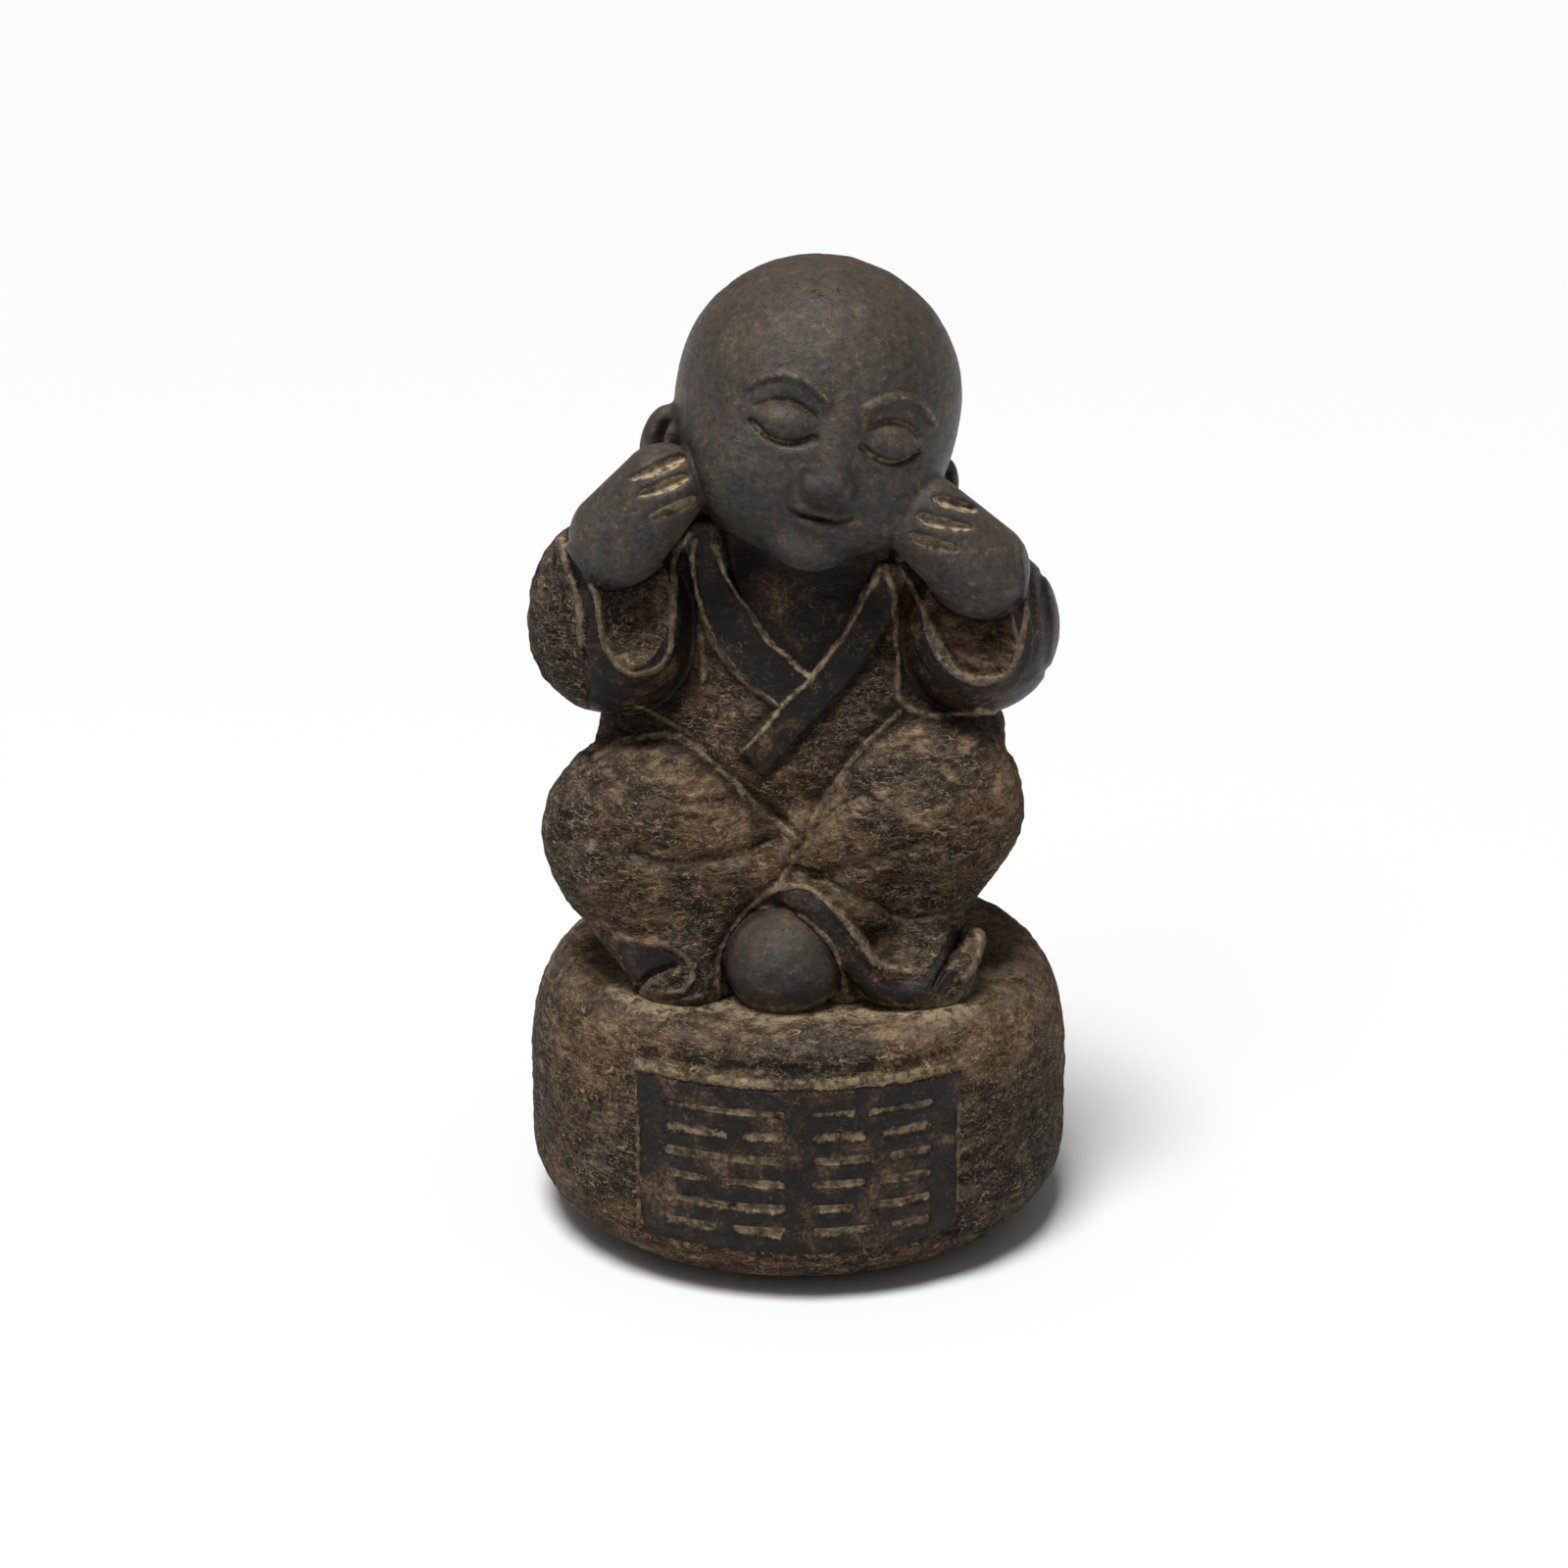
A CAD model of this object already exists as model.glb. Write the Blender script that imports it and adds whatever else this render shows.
import math

import bpy
import numpy as np
from mathutils import Euler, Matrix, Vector, noise


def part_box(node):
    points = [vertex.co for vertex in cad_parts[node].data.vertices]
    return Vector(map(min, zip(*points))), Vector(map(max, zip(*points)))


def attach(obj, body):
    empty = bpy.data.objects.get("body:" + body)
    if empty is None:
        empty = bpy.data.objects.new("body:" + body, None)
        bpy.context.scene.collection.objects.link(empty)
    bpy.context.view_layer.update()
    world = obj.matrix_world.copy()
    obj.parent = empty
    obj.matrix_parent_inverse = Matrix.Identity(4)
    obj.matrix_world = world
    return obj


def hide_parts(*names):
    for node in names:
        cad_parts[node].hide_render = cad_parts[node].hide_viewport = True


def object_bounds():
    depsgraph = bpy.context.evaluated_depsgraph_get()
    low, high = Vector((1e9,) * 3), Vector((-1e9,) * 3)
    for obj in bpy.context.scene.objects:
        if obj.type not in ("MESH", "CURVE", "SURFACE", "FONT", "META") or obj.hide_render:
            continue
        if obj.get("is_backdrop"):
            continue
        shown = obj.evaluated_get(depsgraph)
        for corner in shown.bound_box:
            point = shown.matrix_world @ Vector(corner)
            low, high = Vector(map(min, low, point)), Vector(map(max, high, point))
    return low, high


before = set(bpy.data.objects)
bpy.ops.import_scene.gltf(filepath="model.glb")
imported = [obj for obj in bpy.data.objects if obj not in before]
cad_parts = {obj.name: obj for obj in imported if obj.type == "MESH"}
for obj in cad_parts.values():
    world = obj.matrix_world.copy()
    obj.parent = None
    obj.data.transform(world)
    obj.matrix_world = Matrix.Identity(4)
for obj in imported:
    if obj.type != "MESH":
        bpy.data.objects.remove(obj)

bl_info = {
    "name": "Carved Stone Monk",
    "version": (1, 0, 0),
    "blender": (4, 5, 0),
    "location": "3D View > Sidebar > Statue",
    "description": "Carves a weathered stone figure of a child monk on a drum plinth",
    "category": "Object",
}

CAD_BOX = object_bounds()
NODE = "statue"
NODE_LOW, NODE_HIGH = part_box(NODE)

MM = 0.001

# The figure is laid out in millimetres from its seat, this tall, and scaled to the frame's height.
LAYOUT_HEIGHT = 261.0
LAYOUT_LOW = (-104.0, -84.0, -11.0)
LAYOUT_HIGH = (104.0, 72.0, 268.0)
SEAT_SINK = 7.0


# Distance fields


def length3(x, y, z):
    return np.sqrt(x * x + y * y + z * z)


def join(a, b, k):
    """Joins two fields with a fillet of width k."""
    h = np.maximum(k - np.abs(a - b), 0)
    return np.minimum(a, b) - h * h / (4 * k)


def cut(a, b, k):
    """Cuts field b out of field a."""
    return -join(-a, b, k)


def ease(t):
    s = np.clip(t, 0, 1)
    return s * s * (3 - 2 * s)


def blend(fields, k):
    def field(x, y, z):
        d = fields[0](x, y, z)
        for other in fields[1:]:
            d = join(d, other(x, y, z), k)
        return d

    return field


def own_frame(centre, degrees):
    """Takes points into a frame of its own, turned by degrees about X, then Y, then Z."""
    m = np.array(Euler([math.radians(a) for a in degrees], "XYZ").to_matrix())

    def local(x, y, z):
        u, v, w = x - centre[0], y - centre[1], z - centre[2]
        return [m[0][i] * u + m[1][i] * v + m[2][i] * w for i in range(3)]

    return local


def turned(centre, degrees, field):
    local = own_frame(centre, degrees)
    return lambda x, y, z: field(*local(x, y, z))


def egg(centre, radii, degrees=None):
    """An ellipsoid, turned where degrees are given."""
    if degrees:
        return turned(centre, degrees, egg((0, 0, 0), radii))
    a, b, c = radii

    def field(x, y, z):
        u, v, w = (x - centre[0]) / a, (y - centre[1]) / b, (z - centre[2]) / c
        k0 = length3(u, v, w)
        k1 = np.maximum(length3(u / a, v / b, w / c), 1e-9)
        return k0 * (k0 - 1) / k1

    return field


def limb(a, ra, b, rb):
    """A limb with round ends, from radius ra at a to radius rb at b."""
    span = [q - p for p, q in zip(a, b)]
    length2 = sum(s * s for s in span)

    def field(x, y, z):
        u, v, w = x - a[0], y - a[1], z - a[2]
        t = np.clip((u * span[0] + v * span[1] + w * span[2]) / length2, 0, 1)
        return length3(u - t * span[0], v - t * span[1], w - t * span[2]) - ra - t * (rb - ra)

    return field


def smooth_path(points, steps):
    """Points along a smooth curve through the given ones."""
    p = np.array(points, float)
    p = np.vstack([p[:1], p, p[-1:]])
    rows = []
    for i in range(len(points) - 1):
        p0, p1, p2, p3 = p[i : i + 4]
        v0, v1 = (p2 - p0) / 2, (p3 - p1) / 2
        for t in np.arange(steps) / steps:
            cubic = (2 * p1 - 2 * p2 + v0 + v1) * t**3 + (3 * p2 - 3 * p1 - 2 * v0 - v1) * t**2
            rows.append(cubic + v0 * t + p1)
    return np.array(rows + [p[-1]])


def roll(points, radius):
    """A roll of one thickness along a smooth path."""
    path = smooth_path(points, 3)
    pieces = [limb(a, radius, b, radius) for a, b in zip(path[:-1], path[1:])]

    def field(x, y, z):
        d = pieces[0](x, y, z)
        for piece in pieces[1:]:
            d = np.minimum(d, piece(x, y, z))
        return d

    return field


def bounded(centre, radius, field):
    """A field that is only worked out near its own sphere."""
    near = 15.0

    def nearby(x, y, z):
        d = length3(x - centre[0], y - centre[1], z - centre[2]) - radius
        close = d <= near
        if close.any():
            d[close] = field(x[close], y[close], z[close])
        return d

    return nearby


# Lines carved along the carver's sight, drawn on a sheet that stands square to it before the figure.
# A sheet point is (right, up) in layout millimetres from the sheet's middle.
EYE = Vector((0, -1422, 561))
SHEET_MIDDLE = Vector((0, 0, 83))
SIGHT = (SHEET_MIDDLE - EYE).normalized()
SHEET_DISTANCE = (SHEET_MIDDLE - EYE).length


def on_sheet(x, y, z):
    v, w = y - EYE.y, z - EYE.z
    scale = SHEET_DISTANCE / (v * SIGHT.y + w * SIGHT.z)
    return x * scale, (w * SIGHT.y - v * SIGHT.z) * scale


def line(points):
    """Distance to a smooth line. Far from the line it is only a lower bound."""
    path = smooth_path(points, 4)
    low, high = path.min(0), path.max(0)
    far = 9.0

    def away(a, b):
        outside = np.maximum.reduce([low[0] - a, a - high[0], low[1] - b, b - high[1]])
        close = outside <= far
        if not close.any():
            return outside
        ac, bc = a[close], b[close]
        best = np.full(ac.shape, np.inf)
        for p, q in zip(path[:-1], path[1:]):
            dx, dy = q - p
            u, v = ac - p[0], bc - p[1]
            t = np.clip((u * dx + v * dy) / (dx * dx + dy * dy), 0, 1)
            best = np.minimum(best, (u - t * dx) ** 2 + (v - t * dy) ** 2)
        outside[close] = np.sqrt(best)
        return outside

    return away


def groove(points, reach, depth):
    away = line(points)
    return lambda a, b: depth * ease(1 - away(a, b) / reach)


def gouge(points, reach, depth):
    """A drop-shaped groove: pointed at its first point, widest and deepest near its last."""
    away = line(points)
    (x0, y0), (x1, y1) = points[0], points[-1]
    length2 = (x1 - x0) ** 2 + (y1 - y0) ** 2
    thin, widest = 0.3, 0.66

    def mark(a, b):
        along = ((a - x0) * (x1 - x0) + (b - y0) * (y1 - y0)) / length2
        off = np.where(along < widest, (widest - along) / widest, (along - widest) / (1 - widest))
        drop = thin + (1 - thin) * np.sqrt(np.clip(1 - off**2, 0, 1))
        return depth * drop * ease(1 - away(a, b) / (reach * drop))

    return mark


def band(points, width, height):
    """A raised strip of even width that ends square at its last point."""
    away = line(points)
    edge = 1.2
    (x0, y0), (x1, y1) = points[-2:]
    length = math.hypot(x1 - x0, y1 - y0)

    def mark(a, b):
        past = ((a - x1) * (x1 - x0) + (b - y1) * (y1 - y0)) / length
        inside = np.minimum(width / 2 - away(a, b), -past)
        return -height * ease(inside / edge + 0.5)

    return mark


def total(marks, a, b):
    return sum(mark(a, b) for mark in marks)


def nearest(lines, a, b):
    return np.minimum.reduce([away(a, b) for away in lines])


def by_hand(a, b):
    """Sheet points shifted a little, so that a line wavers as one cut by hand does."""
    reach = 0.4
    along = reach * (np.sin(0.23 * b + 0.16 * a) + 0.4 * np.sin(0.51 * b - 0.3 * a + 1.3))
    across = reach * (np.sin(0.26 * a - 0.13 * b + 2.1) + 0.4 * np.sin(0.49 * a + 0.35 * b))
    return a + along, b + across


# Widths over which each form runs into what is already there.
FILLET = {
    "jaw": 16,
    "ear": 3,
    "ear_hollow": 2,
    "ear_fold": 1.5,
    "cheek": 9,
    "socket": 7,
    "lid": 2.5,
    "chin": 9,
    "nose": 4.5,
    "wing": 2,
    "lip": 1.5,
    "torso": 14,
    "sleeve": 10,
    "cuff": 0.8,
    "wrist": 1.2,
    "legs": 9,
    "corner": 1.5,
    "knees": 5,
    "lap": 4,
    "recess": 3,
    "lining": 2,
    "hem": 1.5,
    "arm": 2.5,
    "head": 2,
    "ball": 1.5,
}

# The head, in its own frame: X to the viewer's right, -Y out of the face, Z to the crown.
HEAD_CENTRE = (6.5, -11, 208)
HEAD_TURN = (-3, 13, 9)
EYE_OUT = 19
BROW_RISE = 14
NOSE_DROP = 21
MOUTH_DROP = 31
HEAD_REACH = 62
BROW = [
    (7, BROW_RISE - 4),
    (13, BROW_RISE),
    (21, BROW_RISE + 1.5),
    (29, BROW_RISE - 1),
    (34, BROW_RISE - 6),
]
BROW_WIDTH = 2.8
BROW_HEIGHT = 1.5
LID_EDGE = [
    (EYE_OUT - 10.5, -3.5),
    (EYE_OUT - 5, -6.5),
    (EYE_OUT, -7.4),
    (EYE_OUT + 5, -6.5),
    (EYE_OUT + 10.5, -3),
]
LID_FOLD = [(EYE_OUT - 9, 3.5), (EYE_OUT - 3, 6.2), (EYE_OUT + 4, 6.2), (EYE_OUT + 10, 2.8)]
MOUTH = [(0, -MOUTH_DROP - 0.4), (4, -MOUTH_DROP), (8, -MOUTH_DROP + 0.4), (11, -MOUTH_DROP + 1.6)]


def face_marks():
    """Brow, lids and mouth as lines on one half of the face."""
    brow = line(BROW)
    edge = 1.2
    return [
        lambda a, b: -BROW_HEIGHT * ease((BROW_WIDTH / 2 - brow(a, b)) / edge + 0.5),
        groove(LID_EDGE, 2.2, 1.9),
        groove(LID_FOLD, 1.8, 1.1),
        groove(MOUTH, 1.7, 1.6),
    ]


def head():
    cranium = egg((0, 2, 5), (50.5, 50, 48.5))
    jaw = egg((0, -3, -18), (43.5, 42, 35.5))
    chin = egg((0, -33, -44), (13, 9, 8))
    nose = limb((0, -44, 6), 3.8, (0, -49, -NOSE_DROP + 4), 5.6)
    lips = [
        egg((4.2, -42.5, -MOUTH_DROP + 2), (7, 4, 2.6), (0, -6, 8)),
        egg((0, -41.5, -MOUTH_DROP - 2.6), (7.5, 4.2, 2.8)),
    ]
    lean = (0, 4, 24)
    ear = egg((49.5, 4, -24.5), (9.5, 6, 15), lean)
    ear_hollow = egg((50.5, -2.5, -22), (5.8, 5.5, 10), lean)
    ear_fold = egg((49.5, -1.5, -24), (2.2, 3, 9), lean)
    cheek = egg((23, -25, -22), (19, 18, 17))
    socket = egg((EYE_OUT, -53, 2), (13, 9, 8), (0, 0, 20))
    lid = egg((EYE_OUT, -39.5, -1), (11, 7.5, 7), (0, 0, 20))
    wing = egg((5.2, -47.5, -NOSE_DROP + 1), (4, 5, 3.6))
    marks = face_marks()
    face_front = -18
    mark_reach = 6

    def front_of(d, side, y, z):
        d = join(d, cheek(side, y, z), FILLET["cheek"])
        d = cut(d, socket(side, y, z), FILLET["socket"])
        d = join(d, lid(side, y, z), FILLET["lid"])
        d = join(d, chin(side, y, z), FILLET["chin"])
        d = join(d, nose(side, y, z), FILLET["nose"])
        d = join(d, wing(side, y, z), FILLET["wing"])
        for lip in lips:
            d = join(d, lip(side, y, z), FILLET["lip"])
        near = np.abs(d) < mark_reach
        d[near] += total(marks, side[near], z[near])
        return d

    def local(x, y, z):
        side = np.abs(x)
        d = join(cranium(x, y, z), jaw(x, y, z), FILLET["jaw"])
        shell = cut(ear(side, y, z), ear_hollow(side, y, z), FILLET["ear_hollow"])
        shell = join(shell, ear_fold(side, y, z), FILLET["ear_fold"])
        d = join(d, shell, FILLET["ear"])
        front = y < face_front
        if front.any():
            d[front] = front_of(d[front], side[front], y[front], z[front])
        return d

    return bounded(HEAD_CENTRE, HEAD_REACH, turned(HEAD_CENTRE, HEAD_TURN, local))


def torso():
    """Neck, chest and belly under the robe, and the stone left between shoulders and head."""
    return blend(
        [
            egg((0, 10, 44), (68, 50, 50)),
            egg((1, 5, 80), (75, 49, 46)),
            egg((1, 4, 118), (58, 41, 44)),
            limb((-46, 6, 134), 25, (44, 6, 131), 25),
            limb((2, -1, 140), 27, (5, -2, 172), 28),
            egg((-43, -6, 166), (20, 22, 26)),
            egg((41, -6, 160), (18, 22, 24)),
            egg((-59, 5, 128), (30, 27, 27)),
            egg((57, 5, 126), (30, 27, 27)),
        ],
        FILLET["torso"],
    )


# An arm: the sleeve has slid down to the elbow, and the forearm comes up out of it to the ear.
ARMS = [
    {
        "sleeve": [((-66, -12, 126), (31, 33, 30)), ((-67, -13, 142), (27, 30, 26))],
        "scoop": ((-56.5, -48, 148), (14.5, 17, 32), (-20, -4, -18)),
        "wrist": (-63.5, -33, 166.5),
        "palm": (-47.5, -38, 186),
        "gaps": [
            [(-61.5, 92.2), (-51, 96.4), (-41.5, 100.5)],
            [(-59, 86.5), (-50, 89.5), (-40.5, 93.5)],
            [(-55, 78.5), (-47, 81), (-37.5, 85.8)],
        ],
        "rim": [
            (-84.9, 68.6), (-78.7, 58.9), (-74.4, 49.2), (-71.9, 35.5), (-67.2, 25.8), (-59.7, 21.1),
            (-51.8, 22.9), (-47.1, 30.5), (-45.7, 41.6), (-46, 53.8), (-44.9, 65), (-40.3, 72.5),
        ],
        "fold": [(-89.9, 65), (-89.2, 56.3), (-85.6, 44.1), (-83.1, 31.9)],
        "rough_side": [(-86, 72), (-84, 60), (-80.5, 45), (-79.8, 37), (-80, 25), (-78.7, 12.8)],
    },
    {
        "sleeve": [((63.5, -12, 125), (29.5, 33, 29)), ((64, -13, 134), (25.5, 30, 23))],
        "scoop": ((58, -48, 141), (17, 17, 31), (-20, -20, 18)),
        "wrist": (64, -33, 155),
        "palm": (44.5, -38, 174.5),
        "gaps": [
            [(65.1, 80.8), (56.5, 83.4), (49, 85.5)],
            [(63.3, 74.4), (51.6, 76.5), (42.8, 79.4)],
            [(59, 66.8), (48, 69.3), (40, 72.2)],
        ],
        "rim": [
            (36.7, 63.5), (42.8, 50.2), (50.3, 34.4), (56.5, 24.7), (65.1, 18.9), (74.8, 20.7),
            (80.9, 28.3), (82.7, 38.4), (82.7, 49.2), (82.7, 58.9), (80.9, 67.9),
        ],
        "fold": [(88.5, 57.4), (90.3, 44.1), (90.6, 31.9), (90.3, 22.2)],
        "rough_side": None,
    },
]
WRIST_RADIUS = 17.5
PALM_RADIUS = 15.5
CUFF_BORDER = 7.5
CUFF_PROUD = 1.3
GAP_REACH = 3.5
GAP_DEPTH = 3.2
ARM_REACH = 62


def arm_parts(arm):
    return {
        "cloth": blend([egg(*parts) for parts in arm["sleeve"]], FILLET["sleeve"]),
        "hollow": egg(*arm["scoop"]),
        "forearm": limb(arm["wrist"], WRIST_RADIUS, arm["palm"], PALM_RADIUS),
        "gaps": [gouge(points, GAP_REACH, GAP_DEPTH) for points in arm["gaps"]],
    }


def arm_field(arm):
    parts = arm_parts(arm)

    def field(x, y, z):
        d = parts["cloth"](x, y, z)
        bare = parts["forearm"](x, y, z)
        front = y < 0
        if front.any():
            place = x[front], y[front], z[front]
            a, b = on_sheet(*place)
            opening = parts["hollow"](*place)
            border = np.maximum(d[front] - CUFF_PROUD, opening - CUFF_BORDER)
            cloth = join(d[front], border, FILLET["cuff"])
            d[front] = cut(cloth, opening, FILLET["wrist"])
            bare[front] += total(parts["gaps"], a, b)
        return join(d, bare, FILLET["wrist"])

    return bounded((arm["wrist"][0] * 0.95, -14, 148), ARM_REACH, field)


LEG_REACH = 70


def left_leg():
    cloth = blend(
        [
            egg((-50, -22, 53), (43, 38, 37)),
            limb((-30, 14, 38), 34, (-50, -16, 54), 34),
            limb((-56, -34, 40), 27.5, (-44.5, -45, 8), 16.5),
            limb((-30, -34, 42), 26, (-36, -47, 8), 15),
        ],
        FILLET["legs"],
    )
    return bounded((-44, -20, 40), LEG_REACH, cloth)


# Cloth that closes the space between the knees.
CROSSING = ((4, -41.5, 59), 11.5, (-12, -44.5, 39), 11)


def right_leg():
    cloth = blend(
        [
            egg((39, -22, 63), (42, 39, 37.5)),
            limb((28, 14, 42), 34, (42, -16, 62), 34),
            limb((41, -30, 42), 23, (43, -40, 10), 16),
            limb((18, -34, 50), 24, (16, -38, 32), 20),
            egg((42, -44, 5), (22, 22, 16)),
        ],
        FILLET["legs"],
    )
    corner = egg((56, -48, 10), (6, 14, 17), (-24, 40, 0))
    return bounded((38, -20, 44), LEG_REACH, blend([cloth, corner], FILLET["corner"]))


BALL_CENTRE = (-5, -53.5, 15)
BALL_RADII = (22, 21.5, 20.5)
RECESS = ((-5, -66, 12), (25, 23, 25.5))

COLLARS = [
    ([(-35, 70), (-32.5, 57), (-28, 45), (-20, 31.5), (-11, 22.5), (-1.5, 14)], 15.5),
    ([(33, 56), (28, 44), (18, 28), (5, 13), (-17, -11)], 13),
]
COLLAR_PROUD = 3
HEM = [
    (-10, -50, 40), (0, -57, 40), (9, -62, 34), (16, -64, 24), (24, -65, 12), (33, -65, 6.5),
    (45, -63, 7), (55, -57, 13),
]
HEM_RADIUS = 4.2
HEM_LINING = 7
# The two ridges that cross between the knees: from the right sleeve down to the ball's left, and from the
# left sleeve over the left knee to the crossing.
CROSS_DOWN = [
    (37.5, 7.3), (28.4, -0.3), (21.4, -7.4), (14.2, -17.5), (9.2, -24.6), (5.1, -32.7), (3.1, -39.8),
    (-5, -52), (-10.1, -58.1), (-18.2, -65.2), (-23.2, -71.2), (-25.7, -76.3), (-28.8, -83.9),
    (-29.6, -97),
]
CROSS_RIGHT = [
    (-75.2, -9.1), (-62.6, -3.3), (-48.5, -0.8), (-39.4, -5.4), (-28.3, -14.5), (-18.2, -24.6),
    (-8, -33.8), (0.1, -40.3),
]
# Each fold line of the robe's front: its points on the sheet, its reach to each side, its depth, and how
# far its dust stays short of a full line.
ROBE_LINES = [
    (CROSS_DOWN, 5.2, 2.0, 0.0),
    (CROSS_RIGHT, 5.2, 2.0, 0.0),
    ([(-80.9, 4.2), (-61.1, 8.9), (-44.9, 2.4), (-34.2, -6.6)], 2.6, 0.8, 0.7),
    ([(-57.5, -23.5), (-44.6, -26.4), (-28.4, -26.4)], 3.4, 1.4, 0.1),
    ([(-60.8, -45.8), (-48.5, -48.9), (-32.4, -48.6), (-20.5, -44.6), (-8.2, -40.7)], 4.2, 2.0, 0.05),
    ([(5.8, -36.5), (10.2, -32.7), (16.3, -27.7), (23.7, -24.6)], 3.0, 1.2, 0.1),
    ([(5.8, -54), (11.2, -52), (22.3, -48.4), (35.5, -44.9), (48.2, -40.5)], 4.0, 1.9, 0.15),
    ([(-3, -50), (8.2, -54), (22.4, -61.1), (32.5, -66.2), (42.6, -69.2), (61.1, -65.9)], 3.2, 1.8, 0.0),
]
HEM_EDGE = [
    (-7.9, -56.8), (2, -56.8), (11.4, -62.8), (18.8, -71.7), (24.2, -79.5), (30, -85), (36.2, -87.6),
    (44.5, -87.6),
]
# Raised edges: hems and borders of the cloth, thin enough to catch the light.
EDGES = [
    [(-31.3, 68.6), (-27, 58.1), (-20.5, 48.4), (-13.3, 36.6), (-5.4, 28.3), (3, 20.5)],
    [(-38.5, 70), (-38.1, 56.3), (-35.2, 41.2), (-26.2, 26.1), (-16.9, 16.8), (-7.6, 9.2)],
    [(29.5, 60.7), (23.4, 48.4), (16.5, 36.6), (9.7, 26.9), (2.9, 18.6), (-6.8, 7.8), (-21.5, -8.5)],
    [(31.6, 60.7), (35.2, 45.6), (36.3, 31.9), (36, 16.1), (40.6, 8.5), (51.8, 6.4), (71.9, 7.4)],
    [(-36.3, 38.4), (-34.9, 29.4), (-35.6, 18.6)],
    [(-87, 71), (-85.5, 62), (-82, 50), (-80.2, 40), (-79.8, 32)],
    CROSS_DOWN,
    CROSS_RIGHT,
    HEM_EDGE,
    [(-13.3, -64.5), (-5.4, -65.5), (5.4, -71.3), (12.6, -78.5), (15.8, -87.5), (17.6, -95.4)],
    [(65.4, -73.1), (66.5, -78.5), (64.7, -85.7), (61.1, -91.1)],
    [(-66.5, -74.9), (-57.5, -77.4), (-47.5, -78.9), (-40.6, -83.2), (-39.2, -89.3), (-42.1, -95.4)],
    [(-47.1, -95.4), (-42.1, -94.7)],
    [(-42.1, -98.6), (-36.3, -97.9)],
]
EDGE_REACH = 1.9
EDGE_HEIGHT = 1.3
# Deep dark creases: under the curl of cloth at the left, and behind the folded corner at the right.
CREASES = [
    [(-59.3, -94.7), (-55, -90), (-50.3, -86.8), (-45.7, -85.3)],
    [(49.3, -92.9), (53.9, -85.7), (58.6, -76.7), (61, -71)],
]
CREASE_REACH = 1.6
CREASE_DEPTH = 2.4
FOLD_REACH = 2.6
FOLD_DEPTH = 0.9
BACK_COLLAR = ([(-40, 168), (-22, 158), (0, 154), (22, 156), (40, 164)], 11, 2.4)
BACK_LINES = [
    ([(-9, 140), (-15, 112), (-12, 82), (-20, 52)], 5, 2),
    ([(16, 138), (21, 108), (16, 78), (24, 46)], 5, 2),
    ([(-62, 16), (-34, 9), (0, 7), (34, 9), (62, 16)], 4, 2),
]
# The chest between the collars, on the sheet.
CHEST = [
    (-35, 71), (-32, 55), (-26, 40), (-16.5, 27), (-4, 15.5), (5, 13), (18, 28), (28, 44), (33, 56),
    (33, 75),
]
# How far forward or back, and how high, each set of marks reaches. Marks are cut only near the surface.
COLLAR_FRONT = 6
COLLAR_LOWEST = 70
BACK_START = 16
LAP_HIGHEST = 105
NEAR_SURFACE = 7.0
THIN_REACH = 4


def hem_field():
    """The turned-up hem, with the cloth behind it that closes the space beside the ball."""
    lining = [(x + 1, y + HEM_LINING - 1, z - 1) for x, y, z in HEM]
    backing = egg((17, -47, 8), (13, 15, 17))
    hem_reach = 48
    parts = [roll(HEM, HEM_RADIUS), roll(lining, HEM_LINING), backing]
    return bounded((24, -56, 22), hem_reach, blend(parts, FILLET["lining"]))


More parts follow.
